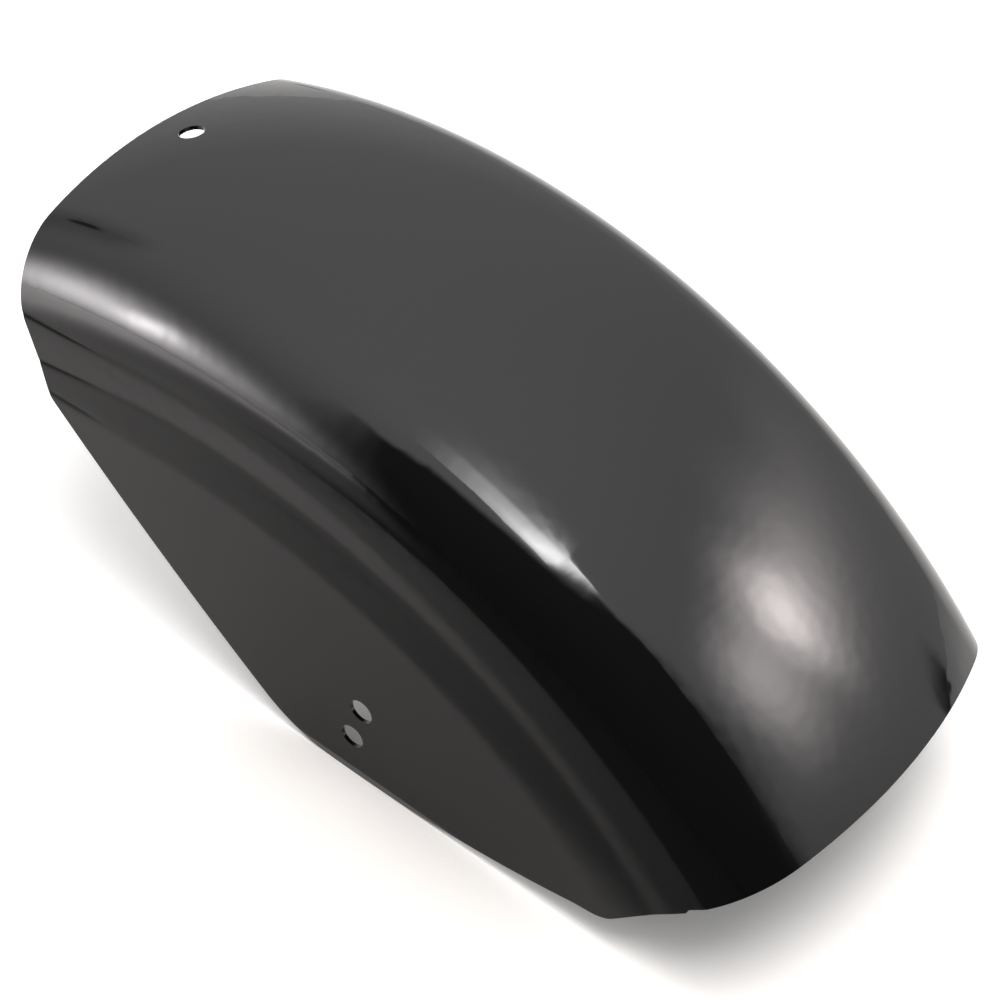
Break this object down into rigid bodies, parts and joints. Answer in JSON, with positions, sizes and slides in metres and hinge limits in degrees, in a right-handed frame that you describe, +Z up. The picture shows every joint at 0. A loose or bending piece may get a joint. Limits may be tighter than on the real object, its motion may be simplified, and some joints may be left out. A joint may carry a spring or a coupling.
{
  "type": "motorcycle rear fender",
  "caption": "Short motorcycle rear fender pressed from one gloss black steel sheet, with a crowned top, rolled shoulders, deep flat side skirts and bolt holes in the crown and skirts.",
  "frame": {"origin": "on the surface that the fender stands on, under the middle of its bounding box", "axes": "+X towards the front end that carries the crown hole, +Y towards the left skirt, +Z up"},
  "size_m": [0.3435, 0.164, 0.1772],
  "materials": {
    "black_paint": "gloss"
  },
  "bodies": {
    "root": {"fender": "black_paint"}
  },
  "joints": []
}
